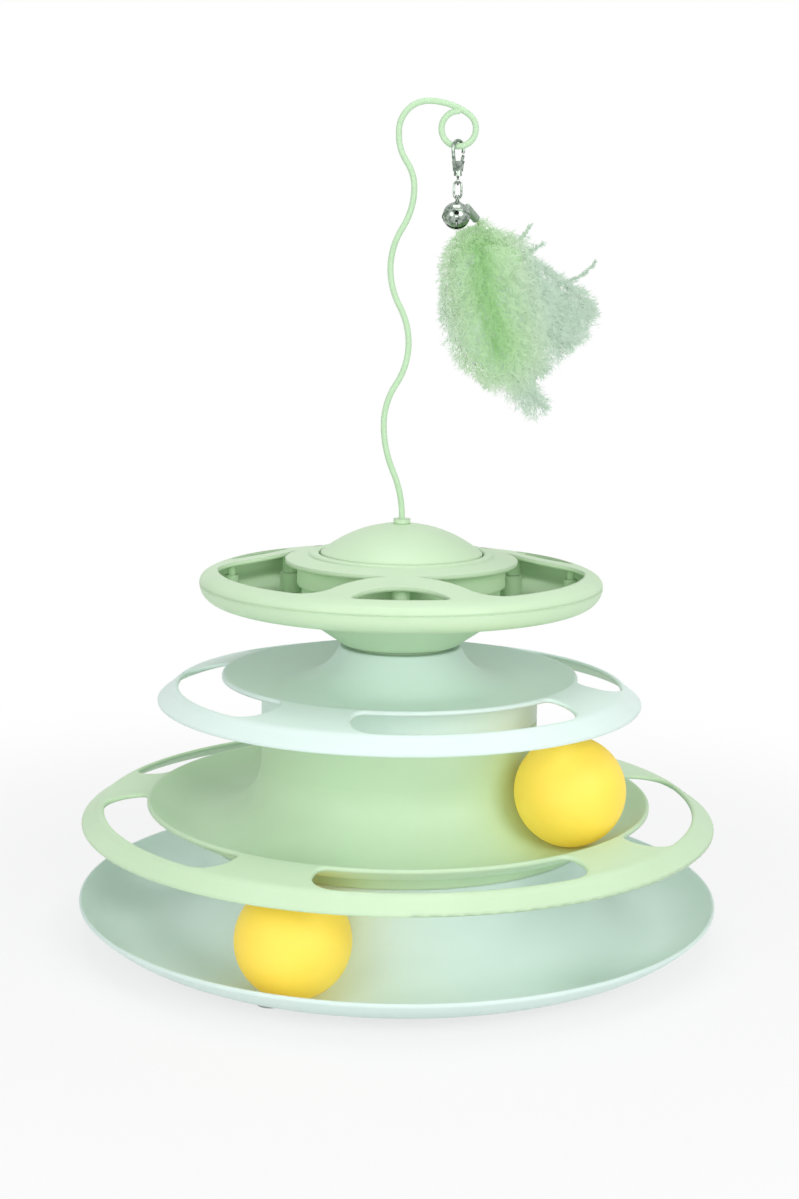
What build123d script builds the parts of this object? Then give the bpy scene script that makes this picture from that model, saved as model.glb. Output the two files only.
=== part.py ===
from build123d import *
import math
import os

# Cat ball track toy: a tray and two stacked track tiers with balls, a hollow top disc,
# and a bent wire wand that carries a clasp, a bell and a feather.
# Millimetres. +Z is up, the origin is on the floor under the tower's axis, -Y is the front.
# Angles around the tower count from the front, positive towards +X.

# Balls and moulded walls
ball_diameter = 40.8
ball_wall = 1.2
wall = 1.5
ball_gap = 0.3
seat_fit = 0.2
edge_round = 0.6

# Rubber feet
foot_height = 2.3
foot_radius = 4.8
foot_recess = 0.6
foot_count = 4
foot_angle = -27.0

# Base tray
base_neck_radius = 74.4
base_neck_gap = 0.6
tray_reach = 25.9
tray_rim_rise = 12.2
lower_ball_angle = -21.7

# Lower track tier
lower_neck_radius = 52.8
lower_neck_gap = 1.6
lower_neck_straight = 17.0
lower_headroom = 6.3
lower_channel_depth = 7.4
lower_plate_fall = 2.3
lower_rise_width = 20.0
lower_slot_margin = 1.0
lower_slot_width = 16.3
lower_slot_count = 5
lower_slot_angle = 11.0
lower_slot_span = 54.0
lower_skirt_reach = 6.4
lower_skirt_drop = 4.4
lower_skirt_height = 5.5
upper_ball_angle = 56.5

# Middle track tier
middle_neck_radius = 23.0
middle_neck_rise = 13.4
middle_flare = 22.0
middle_headroom = 13.3
middle_channel_depth = 3.1
middle_plate_fall = 3.9
middle_flat = 7.0
middle_rise_width = 16.65
middle_slot_margin = 1.0
middle_slot_width = 16.4
middle_slot_count = 4
middle_slot_angle = 20.0
middle_slot_span = 66.0
middle_skirt_reach = 5.9
middle_skirt_drop = 4.55

# Parts that both tiers share
track_flat = 0.6
rim_margin = 0.5
rim_round = 4.2
rim_turn = 46.0
slot_outer_round = 10.0
slot_inner_round = 4.0
slot_lip_round = 0.8
spigot_length = 10.0

# Top disc, lower bowl
socket_radius = 19.5
socket_depth = 10.0
socket_ledge = 3.0
disc_gap = 1.3
shoulder_radius = 22.5
disc_cone_rise = 12.0
disc_knee_margin = 0.5
disc_reach = 36.8
disc_ring_round = 7.0
disc_floor_rise = 4.4
parting_chamfer = 0.3

# Top disc, upper cover
cover_edge_round = 3.4
cover_edge_angle = 60.0
cover_crown_round = 14.0
cover_rise = 10.3
drum_margin = 4.5
drum_wall = 1.6
drum_drop = 9.7
drum_overlap = 4.0
opening_margin = 4.5
opening_ring = 7.0
opening_count = 3
opening_end_inset = 2.6
opening_end_overlap = 0.8
arch_inset = 1.2
arch_margin = 2.4
arch_corner_round = 1.6
opening_inner_round = 3.2
opening_outer_round = 11.0

# Posts, pegs and screws that hold the cover on the bowl
post_inset = 6.0
post_radius = 3.2
boss_radius = 4.2
peg_inset = 10.0
peg_radius = 1.5
peg_fit = 0.1
peg_socket_radius = 2.6
peg_place = 0.847
peg_depth = 4.0
screw_radius = 1.15
screw_hole_gap = 0.05
screw_head_radius = 2.4
screw_head_height = 1.6
screw_head_gap = 0.2
screw_bite = 6.0
screw_recess = 2.6

# Dome cap and its turning seat
dome_radius = 30.6
dome_rise = 11.1
dome_gap = 0.7
dome_skirt = 5.8
dome_lift = 0.3
lip_width = 3.7
lip_height = 0.9
lip_round = 0.8
hub_radius = 6.15
hub_wall = 2.4
hub_length = 5.0
pivot_fit = 0.06
retainer_radius = 9.5
retainer_thickness = 1.8
retainer_gap = 0.3
collar_radius = 3.2
collar_height = 2.0
collar_seat = 0.25

# Wand: crests of the wavy wire as (x, height above the dome's top)
wire_diameter = 2.25
wire_grip = 9.0
wire_lead = 2.0
wand_crests = [(-7.3, 37.3), (1.6, 67.2), (-5.5, 94.9), (2.9, 124.0), (-3.0, 142.9)]
wand_crown_rise = 1.5
wand_crown_round = 10.8
loop_radius = 6.3
loop_offset = 11.0
loop_drop = 3.5
loop_end_gap = 0.15
loop_close = 30.0

# Clasp, hung on the wire loop and turned so that its hook passes round the wire
clasp_turn = 50.0
clasp_clear = 0.3
hook_radius = 3.0
strand_radius = 0.65
hook_tip_angle = -25.0
clasp_length = 10.6
clasp_thickness = 2.2
clasp_shoulder_width = 4.6
clasp_base_width = 3.0
clasp_body_height = 3.3
swivel_housing_radius = 1.5
swivel_housing_height = 2.0
swivel_head_radius = 0.95
swivel_head_height = 0.8
swivel_stem_radius = 0.5
swivel_fit = 0.06
swivel_gap = 0.15
gate_slot = 1.3
gate_thickness = 0.65
gate_width = 0.95
gate_pin_radius = 0.4
gate_pin_fit = 0.05
gate_tip_gap = 0.25
gate_hub_radius = 0.85
gate_lever_length = 1.5
gate_spring_thickness = 0.33

# Eye, link, bell and feather
eye_radius = 1.25
eye_wire = 0.4
link_wire = 0.42
link_half_width = 1.35
link_length = 6.8
hang_gap = 0.2
loop_wire = 0.3
small_loop_radius = 1.2
loop_spread = 0.4
bell_radius = 5.05
bell_wall = 0.5
bell_lean = -28.0
bell_ridge = 0.3
bell_neck = 1.0
bell_neck_radius = 0.7
bell_slot_width = 0.9
bell_slot_reach = 1.6
pellet_radius = 1.5
pellet_gap = 0.15
ferrule_lean = 42.0
ferrule_tilt = 35.0
ferrule_radius = 1.6
ferrule_start = 4.6
ferrule_length = 7.4
ferrule_nose = 2.0
quill_radius = 0.6
quill_grip = 5.0
quill_turn_round = 3.0

# Quill points and plume sections, measured from the link's lower end
quill_points = [
    (9.4, 6.6, -14.5),
    (11.3, 2.2, -25.0),
    (14.5, 0.0, -39.0),
    (19.5, 0.0, -54.0),
    (27.5, 0.0, -69.0),
]
plume_sections = [
    (-9.9, 5.2, 18.2, 5.2, 4.5),
    (-19.0, -6.0, 29.5, 1.5, 10.0),
    (-31.0, -7.2, 47.0, 0.0, 12.0),
    (-40.0, -6.8, 54.0, 0.0, 12.5),
    (-52.0, -5.6, 47.5, 0.0, 11.5),
    (-62.0, 0.4, 36.0, 0.0, 9.5),
    (-72.0, 14.5, 35.5, 0.0, 7.0),
    (-81.0, 28.0, 35.0, 0.0, 2.5),
]

# Heights and radii that follow from the sizes above
ball_radius = ball_diameter / 2
tray_floor = foot_height + wall
base_flare = ball_radius + base_neck_gap
base_orbit = base_neck_radius + base_flare + track_flat
base_radius = base_orbit + track_flat + tray_reach
tray_rim = tray_floor + tray_rim_rise
lower_plate = tray_floor + ball_diameter + lower_headroom + wall
lower_floor = lower_plate - lower_channel_depth
lower_seat = lower_floor - wall - lower_skirt_height
lower_flare = ball_radius + lower_neck_gap
middle_plate = lower_floor + ball_diameter + middle_headroom + wall
middle_floor = middle_plate - middle_channel_depth
middle_neck_top = middle_floor + middle_neck_rise
disc_seat = middle_neck_top - socket_depth + wall
shoulder = middle_neck_top + disc_gap
disc_knee = shoulder + disc_cone_rise
drum_radius = dome_radius + dome_gap + lip_width + drum_margin
disc_knee_radius = drum_radius + disc_knee_margin
disc_radius = drum_radius + disc_reach
opening_inner = drum_radius + opening_margin
opening_outer = disc_radius - opening_ring
opening_end_center = disc_radius - opening_end_inset
opening_end_radius = opening_end_center - opening_inner + opening_end_overlap
post_ring = opening_inner + post_inset
peg_ring = disc_radius - peg_inset
peg_reach = peg_place * opening_end_radius
peg_turn = (peg_ring**2 + opening_end_center**2 - peg_reach**2) / (2 * peg_ring * opening_end_center)
peg_angle = math.degrees(math.acos(peg_turn))
arch_center = disc_radius - arch_inset
arch_radius = arch_center - post_ring - post_radius - arch_margin
disc_ring_center = disc_radius - disc_ring_round
disc_underside = disc_knee + disc_floor_rise
parting = disc_underside + disc_ring_round
cover_plate = parting + cover_rise
drum_bottom = cover_plate - wall - drum_drop
dome_edge = cover_plate + lip_height
dome_top = dome_edge + dome_rise
well_floor = dome_edge - dome_skirt - dome_lift
hub_bottom = well_floor - wall - hub_length
stem_bottom = hub_bottom - retainer_gap
boss_top = drum_bottom
wire_radius = wire_diameter / 2


def around(radius, angle, height=0.0):
    """Point on a circle about the tower's axis."""
    turn = math.radians(angle)
    return (radius * math.sin(turn), -radius * math.cos(turn), height)


def spots(radius, angle, count, height=0.0):
    """Evenly spaced places about the tower's axis."""
    return [Location(around(radius, angle + step * 360 / count, height)) for step in range(count)]


def outline(points):
    """Straight edges through the points."""
    return [Line(start, end) for start, end in zip(points[:-1], points[1:])]


def lathe(edges):
    """Solid of revolution about the tower's axis from a closed (radius, height) outline."""
    return revolve(Plane.XZ * make_face(edges), Axis.Z)


def ring(inner, outer, low, high):
    """Plain round ring or, with no inner radius, a disc."""
    blank = Pos(0, 0, low) * Cylinder(outer, high - low, align=(Align.CENTER, Align.CENTER, Align.MIN))
    if inner > 0:
        blank -= Pos(0, 0, low) * Cylinder(inner, high - low, align=(Align.CENTER, Align.CENTER, Align.MIN))
    return blank


def rod(radius, low, high, place=Location((0, 0, 0))):
    """Upright cylinder at a place."""
    return place * Pos(0, 0, low) * Cylinder(
        radius, high - low, align=(Align.CENTER, Align.CENTER, Align.MIN)
    )


def circles_at(solid, radius):
    """Circular edges about the tower's axis with the given radius."""
    round_edges = solid.edges().filter_by(GeomType.CIRCLE)
    return [
        edge
        for edge in round_edges
        if abs(edge.radius - radius) < 0.01 and abs(edge.arc_center.X) < 0.01
    ]


def crossing(first, second):
    """Point where two straight lines, each given by two points, cross."""
    (ax, az), (bx, bz) = first
    (cx, cz), (dx, dz) = second
    span = (bx - ax) * (dz - cz) - (bz - az) * (dx - cx)
    share = ((cx - ax) * (dz - cz) - (cz - az) * (dx - cx)) / span
    return (ax + share * (bx - ax), az + share * (bz - az))


def beside(start, end, distance):
    """Line parallel to start-end on its left side."""
    run = math.hypot(end[0] - start[0], end[1] - start[1])
    shift = (-(end[1] - start[1]) * distance / run, (end[0] - start[0]) * distance / run)
    return ((start[0] + shift[0], start[1] + shift[1]), (end[0] + shift[0], end[1] + shift[1]))


class Tier:
    """One track tier: a neck that flares into a channel, a slotted plate and a sloping skirt."""

    def __init__(self, neck, neck_rise, flare, floor, flat, rise_width, depth, fall, slot, skirt):
        self.neck, self.flare, self.floor, self.flat = neck, flare, floor, flat
        self.neck_top = floor + neck_rise
        self.cut = max(flare - neck_rise, 0.0)
        self.orbit = neck + math.sqrt(flare**2 - self.cut**2)
        self.plate = floor + depth
        self.rise_center = self.orbit + flat
        self.rise = (rise_width**2 + depth**2) / (2 * depth)
        self.fall = fall
        self.plate_start = self.rise_center + rise_width
        self.slot_inner = self.plate_start + slot["margin"]
        self.slot_outer = self.slot_inner + slot["width"]
        self.slot = slot
        self.rim = self.slot_outer + rim_margin
        self.plate_low = self.plate - fall
        self.rim_start = 90 - math.degrees(math.atan2(fall, self.rim - self.plate_start))
        self.rim_end = self.rim_start - rim_turn
        self.groove = self.rim_point(0, self.rim_end)
        self.skirt_edge = self.groove[0] + skirt[0]
        self.skirt_bottom = self.groove[1] - skirt[1]

    def plate_at(self, radius):
        """Height of the plate's top, which falls towards its edge."""
        return self.plate - self.fall * (radius - self.plate_start) / (self.rim - self.plate_start)

    def rim_center(self):
        """Centre of the round that leads from the plate over to the skirt."""
        turn = math.radians(self.rim_start)
        return (self.rim - rim_round * math.cos(turn), self.plate_low - rim_round * math.sin(turn))

    def rim_point(self, depth, angle):
        """Point of that round at an angle, set down into the wall by a depth."""
        turn = math.radians(angle)
        center = self.rim_center()
        reach = rim_round - depth
        return (center[0] + reach * math.cos(turn), center[1] + reach * math.sin(turn))

    def surface(self, depth):
        """Track surface from the plate to the neck's top, set down into the wall by a depth."""
        fall = self.fall / (self.rim - self.plate_start)
        drop = self.floor + self.rise - self.plate_at(self.rise_center) + depth
        reach = math.sqrt((1 + fall**2) * (self.rise + depth) ** 2 - drop**2)
        plate_end = self.rise_center + (reach - fall * drop) / (1 + fall**2)
        plate = self.plate_at(plate_end) - depth
        rise_turn = math.degrees(math.asin((plate_end - self.rise_center) / (self.rise + depth)))
        flare_turn = math.degrees(math.acos(self.cut / (self.flare + depth)))
        neck_at = self.orbit - math.sqrt((self.flare + depth) ** 2 - self.cut**2)
        edges = [
            Line(self.rim_point(depth, self.rim_start), (plate_end, plate)),
            CenterArc(
                (self.rise_center, self.floor + self.rise), self.rise + depth, 270 + rise_turn, -rise_turn
            ),
            Line((self.rise_center, self.floor - depth), (self.orbit, self.floor - depth)),
            CenterArc((self.orbit, self.floor + self.flare), self.flare + depth, 270, -flare_turn),
        ]
        flare_top = self.floor + self.flare - self.cut
        if self.neck_top > flare_top:
            edges.append(Line((neck_at, flare_top), (neck_at, self.neck_top)))
        return edges, neck_at

    def shell(self):
        """Moulded shell of the tier, before the slots are cut."""
        top, neck_outer = self.surface(0)
        under, neck_inner = self.surface(wall)
        edge = (self.skirt_edge, self.skirt_bottom)
        inner = beside(self.groove, edge, -wall)
        inner_edge = crossing(inner, (edge, (self.rim, self.skirt_bottom)))
        rim = [
            Line((neck_outer, self.neck_top), (neck_inner, self.neck_top)),
            CenterArc(self.rim_center(), rim_round, self.rim_start, -rim_turn),
            CenterArc(self.rim_center(), rim_round - wall, self.rim_start, -rim_turn),
        ]
        rim += outline([self.groove, edge, inner_edge, inner[0], self.rim_point(wall, self.rim_end)])
        body = lathe(top + under + rim)
        return fillet(circles_at(body, self.skirt_edge), edge_round)

    def slots(self):
        """Paw slots through the plate, rounder at their outer corners."""
        half = self.slot["span"] / 2
        inner, outer = self.slot_inner, self.slot_outer
        corners = [
            around(inner, -half)[:2],
            around(inner, half)[:2],
            around(outer, half)[:2],
            around(outer, -half)[:2],
        ]
        sector = make_face(
            [
                ThreePointArc(corners[0], around(inner, 0)[:2], corners[1]),
                Line(corners[1], corners[2]),
                ThreePointArc(corners[2], around(outer, 0)[:2], corners[3]),
                Line(corners[3], corners[0]),
            ]
        )
        middle = (inner + outer) / 2
        near = [v for v in sector.vertices() if math.hypot(v.X, v.Y) < middle]
        sector = fillet(near, slot_inner_round)
        far = [v for v in sector.vertices() if math.hypot(v.X, v.Y) > outer - edge_round]
        sector = fillet(
            [v for v in far if abs(v.X) > middle * math.sin(math.radians(half))], slot_outer_round
        )
        cutter = extrude(Pos(0, 0, self.plate_low - 2 * wall) * sector, self.fall + 4 * wall)
        turns = [self.slot["angle"] + step * 360 / self.slot["count"] for step in range(self.slot["count"])]
        return [Rot(0, 0, turn) * cutter for turn in turns]

    def slotted(self, body):
        """Cut the slots and round their upper edges."""
        for cutter in self.slots():
            body -= cutter
        lips = []
        for edge in body.edges():
            reaches = [(math.hypot(p.X, p.Y), p.Z) for p in (edge.position_at(s) for s in (0, 0.5, 1))]
            on_plate = all(abs(z - self.plate_at(reach)) < 0.01 for reach, z in reaches)
            if on_plate and self.slot_inner - 0.01 < reaches[1][0] < self.slot_outer + 0.01:
                lips.append(edge)
        return fillet(lips, slot_lip_round)

    def seat_ring(self, neck, seat):
        """Skirt that stands on the neck below, with a spigot that goes inside that neck."""
        spigot = neck - wall - seat_fit
        cover = [
            (neck, seat),
            (neck, self.plate),
            (spigot - wall, self.plate),
            (spigot - wall, seat - spigot_length),
            (spigot, seat - spigot_length),
            (spigot, seat),
            (neck, seat),
        ]
        air, neck_at = self.surface(wall / 2)
        height = self.neck_top + self.flare
        rim = self.rim_point(wall / 2, self.rim_start)
        lid = [(neck_at, self.neck_top), (neck_at, height), (rim[0], height), rim]
        return lathe(outline(cover)) - lathe(air + outline(lid))


lower = Tier(
    lower_neck_radius,
    lower_flare + lower_neck_straight,
    lower_flare,
    lower_floor,
    track_flat,
    lower_rise_width,
    lower_channel_depth,
    lower_plate_fall,
    {
        "margin": lower_slot_margin,
        "width": lower_slot_width,
        "count": lower_slot_count,
        "angle": lower_slot_angle,
        "span": lower_slot_span,
    },
    (lower_skirt_reach, lower_skirt_drop),
)
middle = Tier(
    middle_neck_radius,
    middle_neck_rise,
    middle_flare,
    middle_floor,
    middle_flat,
    middle_rise_width,
    middle_channel_depth,
    middle_plate_fall,
    {
        "margin": middle_slot_margin,
        "width": middle_slot_width,
        "count": middle_slot_count,
        "angle": middle_slot_angle,
        "span": middle_slot_span,
    },
    (middle_skirt_reach, middle_skirt_drop),
)


def base_tray():
    """Dish with a flared neck, a vertical rim edge and a recess for each foot."""
    arc_foot = base_orbit + track_flat
    bowl = (tray_reach**2 + tray_rim_rise**2) / (2 * tray_rim_rise)
    bowl_center = (arc_foot, tray_floor + bowl)
    turn = math.degrees(math.asin(tray_reach / bowl))
    under_turn = math.degrees(math.asin(tray_reach / (bowl + wall)))
    rim_under = tray_floor + bowl - math.sqrt((bowl + wall) ** 2 - tray_reach**2)
    flare_center = (base_neck_radius + base_flare, tray_floor + base_flare)
    edges = [
        CenterArc(bowl_center, bowl, 270, turn),
        Line((base_radius, tray_rim), (base_radius, rim_under)),
        CenterArc(bowl_center, bowl + wall, 270, under_turn),
        CenterArc(flare_center, base_flare, 180, 90),
        CenterArc(flare_center, base_flare + wall, 180, 90),
    ]
    edges += outline([(flare_center[0], tray_floor), (arc_foot, tray_floor)])
    edges += outline([(flare_center[0], tray_floor - wall), (arc_foot, tray_floor - wall)])
    edges += outline(
        [
            (base_neck_radius, flare_center[1]),
            (base_neck_radius, lower_seat),
            (base_neck_radius - wall, lower_seat),
            (base_neck_radius - wall, flare_center[1]),
        ]
    )
    tray = lathe(edges)
    tray = fillet(circles_at(tray, base_radius), edge_round)
    for place in spots(base_orbit, foot_angle, foot_count):
        tray += rod(foot_radius + wall / 2, foot_height - foot_recess, foot_height + wall / 2, place)
        tray -= rod(foot_radius, foot_height - foot_recess, foot_height, place)
    return tray


def base_feet():
    """Anti-slip pads, one solid each, seated in the tray's recesses."""
    pads = []
    for place in spots(base_orbit, foot_angle, foot_count):
        pad = rod(foot_radius, 0, foot_height, place)
        pads.append(fillet(pad.edges().group_by(Axis.Z)[0], foot_recess / 2))
    return Compound(children=pads)


def ball(orbit, angle, floor):
    """Hollow ball that rests in its channel."""
    center = Pos(around(orbit, angle, floor + ball_gap + ball_radius))
    return center * (Sphere(ball_radius) - Sphere(ball_radius - ball_wall))


def lower_track():
    """Green tier on the base neck."""
    return lower.slotted(lower.shell() + lower.seat_ring(base_neck_radius, lower_seat))


def middle_track():
    """Mint tier on the lower tier's neck, with the socket for the top disc."""
    body = middle.shell() + middle.seat_ring(lower_neck_radius, lower.neck_top)
    socket = outline(
        [
            (socket_radius, middle_neck_top),
            (middle_neck_radius - wall / 2, middle_neck_top),
            (middle_neck_radius - wall / 2, middle_neck_top - socket_depth),
            (socket_radius - socket_ledge, middle_neck_top - socket_depth),
            (socket_radius - socket_ledge, disc_seat),
            (socket_radius, disc_seat),
            (socket_radius, middle_neck_top),
        ]
    )
    return middle.slotted(body + lathe(socket))


def bowl_middle(radius):
    """Height of the middle of the bowl's wall at a radius."""
    if radius < disc_knee_radius:
        lean = disc_cone_rise / (disc_knee_radius - shoulder_radius)
        return shoulder + lean * (radius - shoulder_radius) + wall / 2 * math.hypot(1, lean)
    share = (radius - disc_knee_radius) / (disc_ring_center - disc_knee_radius)
    return disc_knee + share * disc_floor_rise + wall / 2


def top_bowl():
    """Lower half of the disc: spigot, cone foot, floor, ring, inner drum, bosses and peg sockets."""
    spigot = socket_radius - seat_fit
    knee = (disc_knee_radius, disc_knee)
    floor_end = (disc_ring_center, disc_underside)
    foot = (shoulder_radius, shoulder)
    upper_cone = beside(foot, knee, wall)
    upper_floor = ((disc_knee_radius, disc_knee + wall), (disc_ring_center, disc_underside + wall))
    bore = ((spigot - wall, disc_seat), (spigot - wall, parting))
    inner_knee = crossing(upper_cone, upper_floor)
    inner_foot = crossing(upper_cone, bore)
    ring_center = (disc_ring_center, parting)
    edges = outline([(spigot, disc_seat), (spigot, shoulder), foot, knee, floor_end])
    edges += [CenterArc(ring_center, disc_ring_round, 270, 90)]
    edges += outline([(disc_radius, parting), (disc_radius - wall, parting)])
    edges += [CenterArc(ring_center, disc_ring_round - wall, 270, 90)]
    edges += outline([upper_floor[1], inner_knee, inner_foot, bore[0], (spigot, disc_seat)])
    bowl = lathe(edges)
    bowl = chamfer(circles_at(bowl, disc_radius), parting_chamfer)
    drum_outer = drum_radius - drum_wall - seat_fit
    drum_inner = drum_outer - drum_wall
    drum_top = drum_bottom + drum_overlap
    foot_points = [(drum_inner, bowl_middle(drum_inner)), (drum_outer, bowl_middle(drum_outer))]
    bowl += lathe(outline(foot_points + [(drum_outer, drum_top), (drum_inner, drum_top), foot_points[0]]))
    post_floor = bowl_middle(post_ring) - wall / 2
    for place in spots(post_ring, 0, opening_count):
        bowl += rod(boss_radius, bowl_middle(post_ring), boss_top, place)
        bowl -= rod(screw_head_radius + screw_head_gap, disc_knee - wall, post_floor + screw_recess, place)
        bowl -= rod(screw_radius + screw_hole_gap, post_floor, boss_top, place)
    for side in (-peg_angle, peg_angle):
        for place in spots(peg_ring, side, opening_count):
            bowl += rod(peg_socket_radius, bowl_middle(peg_ring), parting, place)
            bowl -= rod(peg_radius + peg_fit, parting - peg_depth, parting, place)
    return bowl


def cover_cutters():
    """Three long paw openings and, between them, three small arches."""
    reach = 2 * disc_radius
    band = ring(opening_inner, opening_outer, parting, parting + reach)
    arch = Pos(around(arch_center, 0)) * rod(arch_radius, parting, parting + reach) & band
    keep = band
    for place in spots(opening_end_center, 0, opening_count):
        keep -= rod(opening_end_radius, parting - 1, parting + reach + 1, place)
    cutters = []
    middle_ring = (opening_inner + opening_outer) / 2
    for piece in keep.solids():
        uprights = piece.edges().filter_by(Axis.Z)
        near = [e for e in uprights if math.hypot(e.center().X, e.center().Y) < middle_ring]
        piece = fillet(near, opening_inner_round)
        uprights = piece.edges().filter_by(Axis.Z)
        far = [e for e in uprights if math.hypot(e.center().X, e.center().Y) > opening_outer - edge_round]
        cutters.append(fillet(far, opening_outer_round))
    arch = fillet(arch.edges().filter_by(Axis.Z), arch_corner_round)
    turns = [step * 360 / opening_count for step in range(opening_count)]
    return cutters + [Rot(0, 0, turn) * arch for turn in turns]


def crown_middle():
    """Centre of the large round over the disc's ring."""
    bend = math.radians(cover_edge_angle)
    shift = cover_crown_round - cover_edge_round
    return (disc_radius - cover_edge_round - shift * math.cos(bend), parting - shift * math.sin(bend))


def cover_lean():
    """Angle at which the plate, a cone from the lip's foot, runs into that round."""
    foot = (dome_radius + dome_gap + lip_width - crown_middle()[0], cover_plate - crown_middle()[1])
    spread = math.acos(cover_crown_round / math.hypot(foot[0], foot[1]))
    return math.atan2(foot[1], foot[0]) - spread


def cover_face(radius, depth):
    """Height of the cover's cone at a radius, at a depth below its upper face."""
    reach = cover_crown_round - depth
    start = crown_middle()[0] + reach * math.cos(cover_lean())
    height = crown_middle()[1] + reach * math.sin(cover_lean())
    return height + (start - radius) / math.tan(cover_lean())


def cover_top(radius):
    """Height of the cover's upper face at a radius."""
    center = crown_middle()
    if radius > center[0] + cover_crown_round * math.cos(cover_lean()):
        return center[1] + math.sqrt(cover_crown_round**2 - (radius - center[0]) ** 2)
    return cover_face(radius, 0)


def top_cover():
    """Upper half of the disc: ring, conical plate with openings, dome well, drum, posts and pegs."""
    edge_center = (disc_radius - cover_edge_round, parting)
    hole = dome_radius + dome_gap
    sweep_angle = math.degrees(cover_lean()) - cover_edge_angle
    edges = []
    for depth in (0, wall):
        edges.append(CenterArc(edge_center, cover_edge_round - depth, 0, cover_edge_angle))
        crown = CenterArc(crown_middle(), cover_crown_round - depth, cover_edge_angle, sweep_angle)
        edges += [crown, Line(crown @ 1, (hole, cover_face(hole, depth)))]
    edges += outline([(disc_radius, parting), (disc_radius - wall, parting)])
    edges += outline([(hole, cover_face(hole, 0)), (hole, cover_face(hole, wall))])
    cover = lathe(edges)
    cover = chamfer(circles_at(cover, disc_radius), parting_chamfer)
    for cutter in cover_cutters():
        cover -= cutter
    lip = ring(hole, hole + lip_width, cover_plate - wall / 2, dome_edge)
    cover += fillet(lip.edges().group_by(Axis.Z)[-1], lip_round)
    cover += ring(hole, hole + wall, well_floor - wall, cover_plate - wall / 2)
    cover += ring(hub_radius, hole + wall, well_floor - wall, well_floor)
    cover += ring(hub_radius, hub_radius + hub_wall, hub_bottom, well_floor)
    cover += ring(drum_radius - drum_wall, drum_radius, drum_bottom, cover_top(drum_radius) - wall / 2)
    for place in spots(post_ring, 0, opening_count):
        cover += rod(post_radius, boss_top, cover_top(post_ring + post_radius) - wall / 2, place)
        cover -= rod(screw_radius + screw_hole_gap, boss_top, boss_top + screw_bite, place)
    peg_top = cover_top(peg_ring + peg_radius) - wall / 2
    for side in (-peg_angle, peg_angle):
        for place in spots(peg_ring, side, opening_count):
            cover += rod(peg_radius, parting - peg_depth + ball_gap, peg_top, place)
    return cover


def cover_screws():
    """Self-tapping screws from below, one solid each."""
    head_top = bowl_middle(post_ring) - wall / 2 + screw_recess
    screws = []
    for place in spots(post_ring, 0, opening_count):
        head = rod(screw_head_radius, head_top - screw_head_height, head_top, place)
        drive = rod(screw_radius, head_top - screw_head_height, head_top - screw_head_height / 2, place)
        shank = rod(screw_radius, head_top, boss_top + screw_bite - ball_gap, place)
        screws.append(head + shank - drive)
    return Compound(children=screws)


def dome_cap():
    """Turning dome with a skirt in the well and a stem through the hub."""
    sphere = (dome_radius**2 + dome_rise**2) / (2 * dome_rise)
    center = dome_top - sphere
    stem = hub_radius - pivot_fit
    bottom = well_floor + dome_lift
    inner_edge = center + math.sqrt((sphere - wall) ** 2 - (dome_radius - wall) ** 2)
    rim_angle = math.degrees(math.atan2(dome_edge - center, dome_radius))
    inner_angle = math.degrees(math.atan2(inner_edge - center, dome_radius - wall))
    edges = [
        CenterArc((0, center), sphere, rim_angle, 90 - rim_angle),
        CenterArc((0, center), sphere - wall, inner_angle, 90 - inner_angle),
    ]
    edges += outline([(0, dome_top), (0, dome_top - wall)])
    edges += outline([(dome_radius, dome_edge), (dome_radius, bottom), (dome_radius - wall, bottom)])
    edges += outline([(dome_radius - wall, bottom), (dome_radius - wall, inner_edge)])
    dome = lathe(edges)
    dome += rod(stem, stem_bottom, dome_top - wall / 2)
    dome -= rod(collar_radius, dome_top - collar_seat, dome_top + wall)
    dome -= rod(wire_radius, dome_top - wire_grip, dome_top)
    dome -= rod(screw_radius + screw_hole_gap, stem_bottom, stem_bottom + screw_bite)
    return dome


def dome_retainer():
    """Washer under the hub that keeps the dome from lifting out."""
    washer = ring(
        screw_radius + screw_hole_gap, retainer_radius, stem_bottom - retainer_thickness, stem_bottom
    )
    return fillet(circles_at(washer, retainer_radius), edge_round)


def dome_screw():
    """Screw through the washer into the dome's stem."""
    head_top = stem_bottom - retainer_thickness
    head = rod(screw_head_radius, head_top - screw_head_height, head_top)
    drive = rod(screw_radius, head_top - screw_head_height, head_top - screw_head_height / 2)
    return head + rod(screw_radius, head_top, stem_bottom + screw_bite - ball_gap) - drive


def wand_collar():
    """Small collar round the wire on the dome's top."""
    collar = ring(wire_radius, collar_radius, dome_top - collar_seat, dome_top - collar_seat + collar_height)
    return fillet(circles_at(collar, collar_radius).pop(), edge_round)


def wand_layout():
    """Centre of the end loop and the arc that leads into it."""
    last_x, last_rise = wand_crests[-1]
    crown = (last_x + wand_crown_round, dome_top + last_rise + wand_crown_rise + wand_crown_round)
    fall = loop_radius + loop_drop
    center = (crown[0] + loop_offset, crown[1] - fall)
    lead = (loop_offset**2 + fall**2 - loop_radius**2) / (2 * (fall - loop_radius))
    return crown, center, lead


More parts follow.
